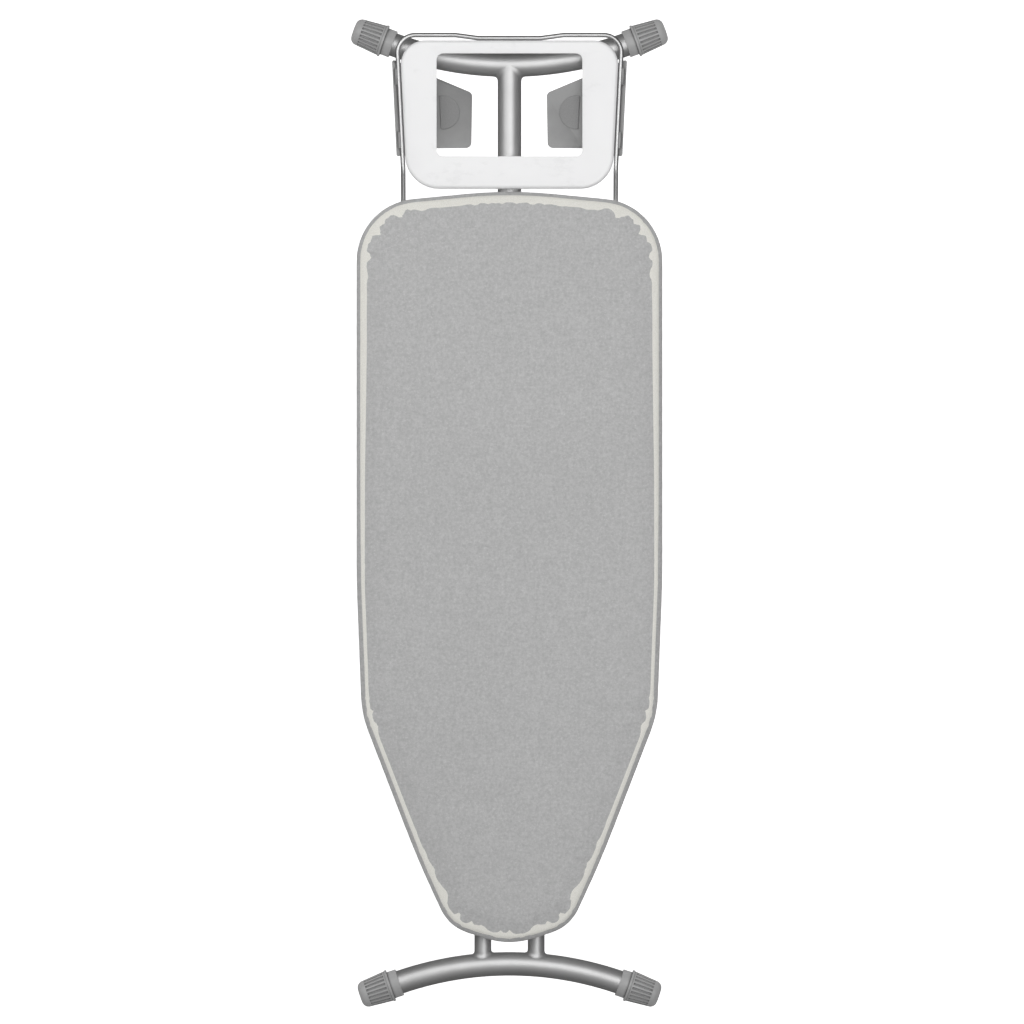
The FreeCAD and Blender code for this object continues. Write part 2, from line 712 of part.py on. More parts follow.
def rod_bearings():
    """Two blocks under the ribs carry the release rod."""
    x, z = float(COMB_X), float(ROD_HEIGHT)
    half = float(n.rod_radius + n.eye_wall)
    length = float(n.bearing_length)
    blocks = []
    for y in (float(RIB_FRONT_Y) - length, float(RAIL_REAR_Y) - length):
        corner = Vector(x - half, y, z - half)
        block = Part.makeBox(2 * half, length, float(RIB_BOTTOM) - corner.z, corner)
        hole = Part.makeCylinder(
            float(n.rod_radius + n.running_fit), length, Vector(x, y, z), Vector(0, 1, 0)
        )
        blocks.append(block.cut(hole))
    group("rod_bearings", blocks)


def lever_spring():
    """Torsion spring round the rod, between the handle and the front bearing."""
    wire = float(n.spring_wire_radius)
    coil = float(n.rod_radius) + 2 * wire + 0.6
    pitch = 2 * wire + 0.7
    turns = float(n.spring_turns)
    start = float(n.rod_front_y + n.handle_width) + wire + 1
    helix = Part.makeHelix(pitch, pitch * turns, coil)
    tangent = helix.Edges[0].tangentAt(helix.Edges[0].FirstParameter)
    section = Part.Wire(Part.Circle(Vector(coil, 0, 0), tangent, wire).toShape())
    spring = Part.Wire(helix.Edges).makePipeShell([section], True, True)
    rod_end = Vector(float(COMB_X), start, float(ROD_HEIGHT))
    spring.Placement = Placement(rod_end, Rotation(Vector(1, 0, 0), -90))
    shaped("lever_spring", spring)


# Legs

def leg_tube(label, x, radius, y_rear, y_front, foot_centre_y, holes):
    """Straight leg tube along Y, coped round the foot and cross-drilled."""
    body = new_body(label)
    sketch = sketch_on(body, "XZ_Plane", -as_size(y_rear))
    circle(sketch, x, n.leg_height, radius)
    circle(sketch, x, n.leg_height, radius - n.tube_wall)
    pad(body, sketch, y_rear - y_front)
    cope = body.newObject("PartDesign::SubtractiveTorus", "Cope")
    bind(cope, "Radius1", n.foot_bend_radius)
    bind(cope, "Radius2", n.foot_tube_radius)
    place(cope, 0, foot_centre_y, n.leg_height)
    doc.recompute()
    for y, hole_radius in holes:
        bore(body, "YZ_Plane", hole_radius, (y, n.leg_height))


def foot_tube(label, foot_y, way, angle):
    """Bent foot, with a short straight stub at each end for its cap."""
    body = new_body(label)
    bend_x = n.foot_bend_radius * sine(angle)
    bend_y = way * n.foot_bend_radius * (1 - cosine(angle))
    end_x = bend_x + n.foot_stub * cosine(angle)
    end_y = bend_y + way * n.foot_stub * sine(angle)
    spine = sketch_on(body, "XY_Plane")
    points = [(-end_x, end_y), (-bend_x, bend_y), (bend_x, bend_y), (end_x, end_y)]
    ends = [Vector(float(x), float(y), 0) for x, y in points]
    spine.addGeometry(Part.LineSegment(ends[0], ends[1]), False)
    radius = float(n.foot_bend_radius)
    middle, half = math.radians(-90 * way), math.radians(float(angle))
    rim = Part.Circle(Vector(0, way * radius, 0), Vector(0, 0, 1), radius)
    spine.addGeometry(Part.ArcOfCircle(rim, middle - half, middle + half), False)
    spine.addGeometry(Part.LineSegment(ends[2], ends[3]), False)
    left, right = (1, 2) if way > 0 else (2, 1)
    spine.addConstraint(Sketcher.Constraint("Coincident", 0, 2, 1, left))
    spine.addConstraint(Sketcher.Constraint("Coincident", 1, right, 2, 1))
    tie_point(spine, 0, 1, *points[0])
    tie_point(spine, 0, 2, *points[1])
    tie_point(spine, 2, 1, *points[2])
    tie_point(spine, 2, 2, *points[3])
    bend = spine.addConstraint(Sketcher.Constraint("Radius", 1, radius))
    bind(spine, f"Constraints[{bend}]", n.foot_bend_radius)
    section = sketch_on(body, "YZ_Plane")
    circle(section, 0, 0, n.foot_tube_radius)
    circle(section, 0, 0, n.foot_tube_radius - n.tube_wall)
    turn = -way * float(angle)
    section.AttachmentOffset = Placement(
        Vector(float(end_y), 0, -float(end_x)), Rotation(Vector(0, 1, 0), turn)
    )
    bind(section, "AttachmentOffset.Base.x", end_y)
    bind(section, "AttachmentOffset.Base.z", -end_x)
    doc.recompute()
    pipe = body.newObject("PartDesign::AdditivePipe", "Pipe")
    pipe.Profile = section
    pipe.Spine = (spine, [])
    doc.recompute()
    place(body, 0, foot_y, n.leg_height)


def foot_cap(label, side, foot_y, way, angle):
    """Plastic cap: smooth collar, raised ring and a tapered grip with grooves."""
    ring_end = n.collar_length + n.cap_ring_width
    grip = n.leg_height - 1
    collar = n.foot_tube_radius + n.collar_wall
    tip_radius = n.foot_tube_radius + n.cap_tip_wall
    profile = [
        (0, n.foot_tube_radius),
        (0, collar),
        (n.collar_length, collar),
        (n.collar_length, n.leg_height),
        (ring_end, n.leg_height),
        (ring_end, grip),
        (n.cap_length, tip_radius),
        (n.cap_length, 0),
        (n.cap_bore_depth, 0),
        (n.cap_bore_depth, n.foot_tube_radius),
    ]
    body = turned(label, profile)
    tip = float(n.cap_length)
    round_edges(body, n.cap_nose_radius, lambda e: all(abs(v.Point.x - tip) < 0.01 for v in e.Vertexes)
                and len(e.Vertexes) == 1)
    start = ring_end + 3
    length = n.cap_length - n.cap_nose_radius - 2 - start
    slope = math.degrees(math.atan2(float(grip - tip_radius), float(n.cap_length - ring_end)))
    groove = body.newObject("PartDesign::SubtractiveCylinder", "Groove")
    bind(groove, "Radius", n.cap_groove_radius)
    bind(groove, "Height", length)
    place(groove, start, 0, grip - 3 * (grip - tip_radius) / (n.cap_length - ring_end),
          Vector(0, 1, 0), as_size(90 + slope))
    doc.recompute()
    pattern = body.newObject("PartDesign::PolarPattern", "Grooves")
    pattern.Originals = [groove]
    axis = next(f for f in body.Origin.OriginFeatures if f.Role == "X_Axis")
    pattern.Axis = (axis, [""])
    pattern.Angle = 360
    pattern.Occurrences = int(float(n.cap_grooves))
    body.Tip = pattern
    doc.recompute()
    x = side * n.foot_bend_radius * sine(angle)
    y = foot_y + way * n.foot_bend_radius * (1 - cosine(angle))
    turn = way * angle if side > 0 else 180 - way * angle
    place(body, x, y, n.leg_height, Vector(0, 0, 1), turn)


def end_plug(radius, x, end_y, way):
    """Plastic plug in an open tube end, pushed in from the +Y or the -Y side."""
    start = Vector(float(x), float(end_y), float(n.leg_height))
    flange = cylinder_between(radius, start, start + Vector(0, way * float(n.tube_wall), 0))
    stem = cylinder_between(radius - n.tube_wall, start, start - Vector(0, way * 3.0, 0))
    return flange.fuse(stem)


def t_leg():
    front_end = HINGE_Y - n.t_tube_overrun
    leg_tube(
        "t_leg_tube", 0, n.t_tube_radius, n.t_foot_y, front_end, n.t_foot_y + n.foot_bend_radius,
        [(0, n.bush_radius), (HINGE_Y, n.bush_radius)],
    )
    foot_tube("t_foot_tube", n.t_foot_y, 1, n.t_foot_angle)
    for name, side in SIDES:
        foot_cap(f"t_foot_cap_{name}", side, n.t_foot_y, 1, n.t_foot_angle)
    shaped("t_leg_end_plug", end_plug(n.t_tube_radius, 0, front_end, -1))
    half = n.t_tube_radius + n.bush_overhang
    hole = n.hinge_pin_radius + n.running_fit
    for label, y in (("hinge_bush", HINGE_Y), ("crossing_bush", as_size(0))):
        turned(label, rectangle(-half, half, hole, n.bush_radius), 0, y, n.leg_height)


def twin_leg():
    rear_end = n.upper_arm + n.twin_tube_overrun
    inner_x = n.twin_tube_x - n.twin_tube_radius
    outer_x = n.twin_tube_x + n.twin_tube_radius
    for name, side in SIDES:
        leg_tube(
            f"twin_tube_{name}", side * n.twin_tube_x, n.twin_tube_radius, rear_end, -n.twin_foot_y,
            -n.twin_foot_y - n.foot_bend_radius,
            [(0, n.hinge_pin_radius), (n.upper_arm, n.slide_pin_radius)],
        )
        foot_cap(f"twin_foot_cap_{name}", side, -n.twin_foot_y, -1, n.twin_foot_angle)
    foot_tube("twin_foot_tube", -n.twin_foot_y, -1, n.twin_foot_angle)
    plugs = [end_plug(n.twin_tube_radius, side * n.twin_tube_x, rear_end, 1) for _, side in SIDES]
    group("twin_end_plugs", plugs)

    for (name, side), outer in zip(SIDES, (SLIDER_OUTER_X, PIN_OUTER_X)):
        pin = doc.addObject("Part::Cylinder", f"slide_pin_{name}")
        pin.Label = f"slide_pin_{name}"
        bind(pin, "Radius", n.slide_pin_radius)
        bind(pin, "Height", outer - inner_x)
        start = inner_x if side > 0 else -outer
        place(pin, start, n.upper_arm, n.leg_height, Vector(0, 1, 0), as_size(90))

    spacer_start = n.t_tube_radius + n.bush_overhang + n.side_play
    bolt_end = outer_x + n.washer_thickness
    spacers = []
    washers = []
    for _, side in SIDES:
        for pieces, start, end, radius in (
            (spacers, spacer_start, inner_x, n.spacer_radius),
            (washers, outer_x, bolt_end, n.washer_radius),
        ):
            near = Vector(side * float(start), 0, float(n.leg_height))
            far = Vector(side * float(end), 0, float(n.leg_height))
            ring = cylinder_between(radius, near, far)
            pieces.append(ring.cut(cylinder_between(n.hinge_pin_radius, near, far)))
    group("crossing_spacers", spacers)
    group("crossing_washers", washers)

    thread_end = bolt_end + n.bolt_head_thickness
    shank = rectangle(-bolt_end, thread_end, 0, n.hinge_pin_radius)
    bolt = turned("crossing_bolt", shank, 0, 0, n.leg_height)
    head = sketch_on(bolt, "YZ_Plane", -thread_end)
    polygon(head, hexagon())
    pad(bolt, head, n.bolt_head_thickness)
    nut = extruded("crossing_nut", "YZ_Plane", hexagon(), bolt_end, n.bolt_head_thickness, symmetric=False)
    bore(nut, "YZ_Plane", n.hinge_pin_radius, (0, 0))
    place(nut, 0, 0, n.leg_height)


def hexagon():
    """Corners of the bolt head, from its width across the flats."""
    reach = n.bolt_head_width / 2 / math.cos(math.radians(30))
    corners = []
    for i in range(6):
        turn = math.radians(60 * i)
        corners.append((reach * math.cos(turn), reach * math.sin(turn)))
    return corners


# Hinge bracket of the T-leg

def hinge_bracket():
    wall = n.bracket_wall
    top = n.sheet_underside
    low = n.leg_height - n.bracket_drop
    flange = BRACKET_OUTER_X + n.bracket_flange
    right = [
        (BRACKET_INNER_X, top - wall),
        (BRACKET_INNER_X, low),
        (BRACKET_OUTER_X, low),
        (BRACKET_OUTER_X, top - wall),
        (flange, top - wall),
        (flange, top),
    ]
    left = [(-across, height) for across, height in reversed(right)]
    body = extruded("hinge_bracket", "XZ_Plane", right + left, -HINGE_Y, n.bracket_length)
    floor = float(low)
    round_edges(body, n.bracket_drop - 1, lambda e: along(e, Vector(1, 0, 0))
                and abs(e.Vertexes[0].Point.z - floor) < 0.01)
    bore(body, "YZ_Plane", n.hinge_pin_radius, (HINGE_Y, n.leg_height))
    bore(body, "XY_Plane", n.rivet_radius, *bracket_rivet_places())

    head = BRACKET_OUTER_X + n.pin_head_thickness
    profile = [
        (-head, 0),
        (-head, n.pin_head_radius),
        (-BRACKET_OUTER_X, n.pin_head_radius),
        (-BRACKET_OUTER_X, n.hinge_pin_radius),
        (BRACKET_OUTER_X, n.hinge_pin_radius),
        (BRACKET_OUTER_X, n.pin_head_radius),
        (head, n.pin_head_radius),
        (head, 0),
    ]
    turned("hinge_pin", profile, 0, HINGE_Y, n.leg_height)

    under = float(top - wall)
    rivets = []
    for x, y in bracket_rivet_places():
        shank = Part.makeCylinder(
            float(n.rivet_radius), float(n.sheet_thickness + wall), Vector(x, y, under)
        )
        head_height = float(n.rivet_head_height)
        rim = Part.makeCone(
            float(n.rivet_head_radius) * 0.6, float(n.rivet_head_radius), head_height,
            Vector(x, y, under - head_height),
        )
        rivets.append(shank.fuse(rim))
    group("bracket_rivets", rivets)


# Iron rest

def wire_line():
    """Corner points of the bent wire, from one end under the board to the other."""
    low, high = float(n.wire_height_low), float(n.wire_height_high)
    front, rear = float(n.wire_x_front), float(n.wire_x_rear)
    far = float(n.wire_rear_y)
    step = float(n.plate_rear_y + n.wire_radius + n.running_fit)
    bend = float(n.wire_bend_radius)
    joggle = float(n.joggle_half_width)
    right = [
        (Vector(front, float(n.wire_start_y), low), 0),
        (Vector(front, float(WIRE_RISE_Y), low), bend * 2),
        (Vector(front, float(n.wire_level_y), high), bend * 2),
        (Vector(rear, far, high), float(n.wire_corner_radius)),
        (Vector(joggle + float(n.joggle_length), far, high), bend),
        (Vector(joggle, step, high), bend),
    ]
    left = [(Vector(-p.x, p.y, p.z), radius) for p, radius in reversed(right)]
    return right + left


def rest_wire():
    corners = wire_line()
    path = rounded_path(corners)
    start = corners[0][0]
    section = Part.Wire(Part.Circle(start, Vector(0, 1, 0), float(n.wire_radius)).toShape())
    solid = path.makePipeShell([section], True, False)
    shaped("rest_wire", solid)


def rounded_block(places, low, high):
    """A block between two heights. Each of its corners is (x, y, radius)."""
    corners = [(Vector(x, y, low), radius) for x, y, radius in places]
    return Part.Face(rounded_path(corners, closed=True)).extrude(Vector(0, 0, high - low))


def plate_block(inset, low, high, edge):
    """The plate's outline moved inwards by inset, as a block with its upper edge rolled over."""
    level, corner = (point for point, _ in wire_line()[2:4])
    lean = (corner.x - level.x) / (corner.y - level.y)
    beside = float(n.wire_radius + n.plate_gap) + inset
    front, rear = float(n.plate_front_y) + inset, float(n.plate_rear_y) - inset
    x_front = level.x + lean * (front - level.y) - beside
    x_rear = level.x + lean * (rear - level.y) - beside
    front_radius = float(n.plate_front_radius) - inset
    rear_radius = float(n.plate_rear_radius) - inset
    places = [
        (-x_front, front, front_radius),
        (x_front, front, front_radius),
        (x_rear, rear, rear_radius),
        (-x_rear, rear, rear_radius),
    ]
    block = rounded_block(places, low, high)
    upper = [e for e in block.Edges if all(abs(v.Point.z - high) < 1e-6 for v in e.Vertexes)]
    return block.makeFillet(edge, upper)


def window_block(margin, low, high):
    """The plate's window made larger all round by margin, as a block."""
    x = float(n.window_width) / 2 + margin
    front, rear = float(n.window_front_y) - margin, float(n.window_rear_y) + margin
    radius = float(n.window_corner_radius) + margin
    places = [(-x, front, radius), (x, front, radius), (x, rear, radius), (-x, rear, radius)]
    return rounded_block(places, low, high)


def rest_plate():
    """Pressed plate: rim rolled down all round, and a lipped window."""
    top, wall, roll = float(n.plate_top), float(n.plate_thickness), float(n.plate_edge_radius)
    low = top - float(n.plate_rim)
    lip_low = top - float(n.window_rim)
    outside = plate_block(0, low, top, roll)
    inside = plate_block(wall, low - 1, top - wall, roll - wall)
    lip = window_block(wall, lip_low, top - wall)
    window = window_block(0, low - 2, top + 2)
    shaped("rest_plate", outside.cut(inside).fuse(lip).cut(window).removeSplitter())


def rest_clamps():
    """Blocks under two ribs hold the rest wire, with two screws each."""
    bottom = float(n.wire_height_low - n.wire_radius - n.clamp_floor)
    width, length = float(n.clamp_width), float(n.clamp_length)
    top = float(RIB_BOTTOM)
    screw, head = float(n.screw_radius), float(n.screw_head_radius)
    head_height = float(n.rivet_head_height)
    blocks = []
    screws = []
    for rib_y in (float(RIB_REAR_Y), float(n.rib_middle_y)):
        for _, side in SIDES:
            x = side * float(n.wire_x_front)
            corner = Vector(x - width / 2, rib_y - length / 2, bottom)
            block = Part.makeBox(width, length, top - bottom, corner)
            bore_start = Vector(x, rib_y - length, float(n.wire_height_low))
            cuts = [Part.makeCylinder(float(n.wire_radius), 2 * length, bore_start, Vector(0, 1, 0))]
            for step in (-1, 1):
                place_x = x + step * float(n.clamp_screw_x)
                foot = Vector(place_x, rib_y, bottom)
                reach = top + float(n.rib_wall) - bottom
                shank = Part.makeCylinder(screw, reach, foot)
                cuts.append(shank)
                button = Part.makeCylinder(head, head_height, foot - Vector(0, 0, head_height))
                screws.append(shank.fuse(button))
            blocks.append(block.cut(cuts))
    group("rest_clamps", blocks)
    group("clamp_screws", screws)


# Flaps that hang from the side wires

def flap(name, side):
    """Moulded flap under the plate. It turns about the side wire in two open eyes."""
    wire = {corner_name: point for corner_name, (point, _) in zip(("level", "rear"), wire_line()[2:4])}
    line = wire["rear"] - wire["level"]
    lean = math.degrees(math.atan2(line.x, line.y))
    travel = (float(n.flap_start_y) - wire["level"].y) / line.y
    start = wire["level"] + line * travel
    length, reach = float(n.flap_length), float(n.flap_reach)
    thick, lip = float(n.flap_thickness), float(n.flap_lip)
    bore_radius = float(n.wire_radius + n.running_fit)
    drop = bore_radius + float(n.eye_wall) * 0.5
    neck = float(n.flap_neck)
    soft, sharp = float(n.flap_corner_radius), float(n.flap_lip) / 3
    outline = [
        (Vector(lip, 0, 0), sharp),
        (Vector(-neck, 0, 0), sharp),
        (Vector(-neck, length * 0.068, 0), sharp),
        (Vector(-reach * 0.95, length * 0.059, 0), soft),
        (Vector(-reach, length * 0.64, 0), soft),
        (Vector(-neck, length * 0.84, 0), 3 * soft),
        (Vector(lip, length + 3, 0), sharp),
    ]
    plate = Part.Face(rounded_path(outline, closed=True)).extrude(Vector(0, 0, -thick))
    plate.translate(Vector(0, 0, -drop))
    eye = float(n.eye_length)
    solids = [plate]
    for y in (float(n.eye_setback), length - eye - float(n.eye_setback)):
        ring = Part.makeCylinder(bore_radius + float(n.eye_wall), eye, Vector(0, y, 0), Vector(0, 1, 0))
        keep = Part.makeBox(3 * lip, eye, 3 * lip, Vector(-0.5, y, -3 * lip + bore_radius * 0.6))
        solids.append(ring.common(keep))
    body = solids[0].fuse(solids[1:])
    clear = Part.makeCylinder(bore_radius, length + 20, Vector(0, -10, 0), Vector(0, 1, 0))
    body = body.cut(clear).removeSplitter()

    radius, flat = float(n.flap_pad_radius), float(n.flap_pad_flat)
    pad_thick = float(n.flap_pad_thickness)
    centre = Vector(-reach * 0.585, length * 0.445, -drop)
    disc = Part.makeCylinder(radius, pad_thick, centre)
    half_plane = Part.makeBox(2 * radius, 2 * radius, pad_thick, centre + Vector(flat, -radius, 0))
    soft_pad = disc.cut(half_plane)

    turn = Rotation(Vector(0, 0, 1), -side * lean) * Rotation(Vector(0, 1, 0), -side * float(n.flap_slope))
    where = Placement(Vector(side * start.x, start.y, start.z), turn)
    for label, shape in ((f"rest_flap_{name}", body), (f"flap_pad_{name}", soft_pad)):
        if side < 0:
            shape = shape.mirror(Vector(0, 0, 0), Vector(1, 0, 0))
        feature = shaped(label, shape)
        feature.Placement = where


def check_and_write():
    """Write one file for each piece, once every object of the document is sound."""
    doc.recompute()
    for thing in doc.Objects:
        if "Invalid" in thing.State or "Error" in thing.State:
            raise ValueError(f"{thing.Label} failed: {thing.State}")
    os.makedirs("parts", exist_ok=True)
    for thing in doc.Objects:
        is_body = thing.TypeId == "PartDesign::Body"
        is_piece = thing.TypeId in ("Part::Feature", "Part::Cylinder")
        if not (is_body or is_piece):
            continue
        if thing.Shape.isNull() or not thing.Shape.isValid():
            raise ValueError(f"{thing.Label} has no sound shape")
        thing.Shape.exportStep(f"parts/{thing.Label}.step")
        box = thing.Shape.BoundBox
        print(f"{thing.Label}: {len(thing.Shape.Solids)} solid(s), z {box.ZMin:.1f} to {box.ZMax:.1f}")


top_sheet()
foam_pad()
cover()
ribs()
rails()
rail_end_plugs()
carriage()
lever()
rod_bearings()
lever_spring()
t_leg()
twin_leg()
hinge_bracket()
rest_wire()
rest_plate()
rest_clamps()
for flap_name, flap_side in SIDES:
    flap(flap_name, flap_side)
check_and_write()
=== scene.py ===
import json
import math

import bmesh
import bpy
import numpy as np
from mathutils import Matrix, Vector


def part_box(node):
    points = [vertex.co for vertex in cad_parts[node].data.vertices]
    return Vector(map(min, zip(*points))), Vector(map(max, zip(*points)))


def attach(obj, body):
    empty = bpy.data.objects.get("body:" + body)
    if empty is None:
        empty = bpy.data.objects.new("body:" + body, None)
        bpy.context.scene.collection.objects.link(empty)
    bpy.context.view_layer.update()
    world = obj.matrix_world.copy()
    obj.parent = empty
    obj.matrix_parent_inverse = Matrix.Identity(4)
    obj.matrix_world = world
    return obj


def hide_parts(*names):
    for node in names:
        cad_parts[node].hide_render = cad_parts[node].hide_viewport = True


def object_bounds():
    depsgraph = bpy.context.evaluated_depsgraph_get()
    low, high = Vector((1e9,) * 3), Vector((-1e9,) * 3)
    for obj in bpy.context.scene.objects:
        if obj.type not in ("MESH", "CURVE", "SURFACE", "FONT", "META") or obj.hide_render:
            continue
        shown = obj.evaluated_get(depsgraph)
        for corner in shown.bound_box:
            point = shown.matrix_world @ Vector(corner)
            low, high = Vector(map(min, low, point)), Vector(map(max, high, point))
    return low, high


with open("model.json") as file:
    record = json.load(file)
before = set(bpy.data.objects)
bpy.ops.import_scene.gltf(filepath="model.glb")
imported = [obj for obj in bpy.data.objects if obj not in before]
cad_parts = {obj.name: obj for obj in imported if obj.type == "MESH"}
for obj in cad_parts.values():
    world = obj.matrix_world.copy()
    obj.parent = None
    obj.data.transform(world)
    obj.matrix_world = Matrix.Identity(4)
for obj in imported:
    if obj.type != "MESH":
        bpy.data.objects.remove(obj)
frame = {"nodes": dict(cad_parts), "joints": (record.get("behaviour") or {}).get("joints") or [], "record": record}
cad_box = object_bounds()

# A folding ironing board, lying folded with its ironing surface up. Metres.
# +Y runs to the iron rest, -Y to the nose, +Z is up.

NODES = frame["nodes"]
MM = 0.001
SIDES = ("left", "right")


# Materials

class Recipe:
    """A material under construction: short ways to add and join its nodes."""

    def __init__(self, name, colour, roughness, metallic=0.0):
        self.material = bpy.data.materials.new(name)
        self.material.use_nodes = True
        self.tree = self.material.node_tree
        self.shader = next(k for k in self.tree.nodes if k.type == "BSDF_PRINCIPLED")
        self.shader.inputs["Base Color"].default_value = (*colour, 1.0)
        self.shader.inputs["Roughness"].default_value = roughness
        self.shader.inputs["Metallic"].default_value = metallic
        self.place = self.add("ShaderNodeTexCoord").outputs["Object"]

    def add(self, kind, **settings):
        node = self.tree.nodes.new(kind)
        for key, value in settings.items():
            setattr(node, key, value)
        return node

    def join(self, source, target):
        self.tree.links.new(source, target)

    def stretched(self, scale):
        """Object coordinates stretched along the axes."""
        mapping = self.add("ShaderNodeMapping")
        mapping.inputs["Scale"].default_value = scale
        self.join(self.place, mapping.inputs["Vector"])
        return mapping.outputs["Vector"]

    def noise(self, size, detail=4.0, roughness=0.55, where=None):
        """Soft noise whose blotches are about size metres across."""
        node = self.add("ShaderNodeTexNoise")
        node.inputs["Scale"].default_value = 1.0 / size
        node.inputs["Detail"].default_value = detail
        node.inputs["Roughness"].default_value = roughness
        self.join(where or self.place, node.inputs["Vector"])
        return node.outputs["Fac"]

    def ramp(self, value, low, high, start=0.3, end=0.7):
        """Map a 0 to 1 value onto two colours."""
        node = self.add("ShaderNodeValToRGB")
        first, last = node.color_ramp.elements
        first.position, last.position = start, end
        first.color, last.color = (*low, 1.0), (*high, 1.0)
        self.join(value, node.inputs["Fac"])
        return node.outputs["Color"]

    def span(self, value, low, high):
        """Map a 0 to 1 value onto a range."""
        node = self.add("ShaderNodeMapRange")
        node.inputs["To Min"].default_value = low
        node.inputs["To Max"].default_value = high
        self.join(value, node.inputs["Value"])
        return node.outputs["Result"]

    def combine(self, operation, first, second):
        node = self.add("ShaderNodeMath", operation=operation)
        for socket, value in zip(node.inputs, (first, second)):
            if isinstance(value, (int, float)):
                socket.default_value = value
            else:
                self.join(value, socket)
        return node.outputs["Value"]

    def blend(self, factor, first, second, kind="MIX"):
        """Mix two colours."""
        node = self.add("ShaderNodeMix", data_type="RGBA", blend_type=kind)
        for name, value in (("Factor_Float", factor), ("A_Color", first), ("B_Color", second)):
            socket = next(s for s in node.inputs if s.identifier == name)
            if hasattr(value, "is_output"):
                self.join(value, socket)
            else:
                socket.default_value = value
        return next(s for s in node.outputs if s.identifier == "Result_Color")

    def colour(self, output):
        self.join(output, self.shader.inputs["Base Color"])

    def roughness(self, output):
        self.join(output, self.shader.inputs["Roughness"])

    def bump(self, height, depth, strength=1.0):
        """Surface relief. Several calls stack."""
        node = self.add("ShaderNodeBump")
        node.inputs["Strength"].default_value = strength
        node.inputs["Distance"].default_value = depth
        self.join(height, node.inputs["Height"])
        target = self.shader.inputs["Normal"]
        if target.is_linked:
            self.join(target.links[0].from_socket, node.inputs["Normal"])
        self.join(node.outputs["Normal"], target)

    def painted_crevice_shade(self, base, dark, reach):
        """Painted shade: a darker tone in grooves and inside corners, wherever ambient occlusion finds them."""
        occlusion_shade = self.add("ShaderNodeAmbientOcclusion", samples=8, only_local=True)
        occlusion_shade.inputs["Distance"].default_value = reach
        return self.blend(self.ramp(occlusion_shade.outputs["AO"], grey(1.0), grey(0.0), 0.55, 0.98), base, dark)


def grey(level):
    return (level, level, level)


def woven(recipe, pitch):
    """Over-and-under threads of a plain weave, as a height from 0 to 1."""
    threads = []
    for direction in ("X", "Y"):
        wave = recipe.add("ShaderNodeTexWave", wave_type="BANDS", bands_direction=direction)
        wave.inputs["Scale"].default_value = 1.0 / (pitch * 3.18)
        wave.inputs["Distortion"].default_value = 1.2
        wave.inputs["Detail"].default_value = 1.0
        wave.inputs["Detail Scale"].default_value = 2.0
        recipe.join(recipe.place, wave.inputs["Vector"])
        threads.append(wave.outputs["Fac"])
    return recipe.combine("MAXIMUM", *threads)


def cover_cloth():
    """Fine metallised weave: a light grey cloth with dull flecks in its threads, and bright flecks that are
    painted glints.
    """
    recipe = Recipe("cover_cloth", grey(0.44), 0.6, 0.1)
    weave = woven(recipe, 0.0011)
    fleck = recipe.noise(0.0042, detail=5.0, roughness=0.75)
    painted_glint = recipe.noise(0.0021, detail=2.0, roughness=0.6)
    slub_x = recipe.noise(0.004, detail=2.0, where=recipe.stretched((1.0, 0.25, 1.0)))
    slub_y = recipe.noise(0.004, detail=2.0, where=recipe.stretched((0.25, 1.0, 1.0)))
    cloud = recipe.noise(0.2, detail=3.0)
    tone = recipe.ramp(fleck, grey(0.36), grey(0.56), 0.32, 0.68)
    slubs = recipe.ramp(recipe.combine("MULTIPLY", slub_x, slub_y), grey(0.95), grey(1.05), 0.15, 0.38)
    tone = recipe.blend(1.0, tone, slubs, "MULTIPLY")
    tone = recipe.blend(1.0, tone, recipe.ramp(cloud, grey(0.975), grey(1.02)), "MULTIPLY")
    tone = recipe.blend(0.3, tone, recipe.ramp(weave, grey(0.38), grey(0.5), 0.2, 0.9))
    # Painted highlight: bright flecks stand in for glints off the metallised threads.
    bright = recipe.ramp(painted_glint, grey(0.0), grey(0.7), 0.62, 0.78)
    tone = recipe.blend(bright, tone, (0.62, 0.62, 0.62, 1.0))
    recipe.colour(tone)
    recipe.roughness(recipe.span(fleck, 0.48, 0.7))
    recipe.bump(weave, 0.00018, 0.5)
    recipe.bump(fleck, 0.00025, 0.35)
    recipe.shader.inputs["Sheen Weight"].default_value = 0.2
    recipe.shader.inputs["Sheen Roughness"].default_value = 0.4
    return recipe.material


def silver_tube():
    """Satin silver powder coat with a fine grain."""
    recipe = Recipe("silver_tube", grey(0.48), 0.46, 0.85)
    grain = recipe.noise(0.0009, detail=2.0)
    cloud = recipe.noise(0.05, detail=3.0)
    recipe.colour(recipe.ramp(cloud, grey(0.46), grey(0.51)))
    recipe.roughness(recipe.span(grain, 0.42, 0.54))
    recipe.bump(grain, 0.00004, 0.5)
    recipe.shader.inputs["Coat Weight"].default_value = 0.1
    recipe.shader.inputs["Coat Roughness"].default_value = 0.3
    return recipe.material


def zinc_steel():
    """Bright zinc plate, faintly mottled."""
    recipe = Recipe("zinc_steel", grey(0.62), 0.3, 1.0)
    spangle = recipe.noise(0.006, detail=5.0)
    recipe.colour(recipe.ramp(spangle, (0.55, 0.56, 0.57), (0.7, 0.71, 0.71)))
    recipe.roughness(recipe.span(spangle, 0.22, 0.42))
    recipe.bump(recipe.noise(0.0008), 0.00003, 0.4)
    return recipe.material


def plated_wire():
    """Plated steel wire, satin, with faint drawing marks."""
    recipe = Recipe("plated_wire", grey(0.48), 0.38, 1.0)
    marks = recipe.noise(0.0006, detail=2.0, where=recipe.stretched((1.0, 0.05, 1.0)))
    recipe.colour(recipe.ramp(recipe.noise(0.03), grey(0.43), grey(0.5)))
    recipe.roughness(recipe.span(marks, 0.32, 0.46))
    recipe.bump(marks, 0.00003, 0.3)
    return recipe.material


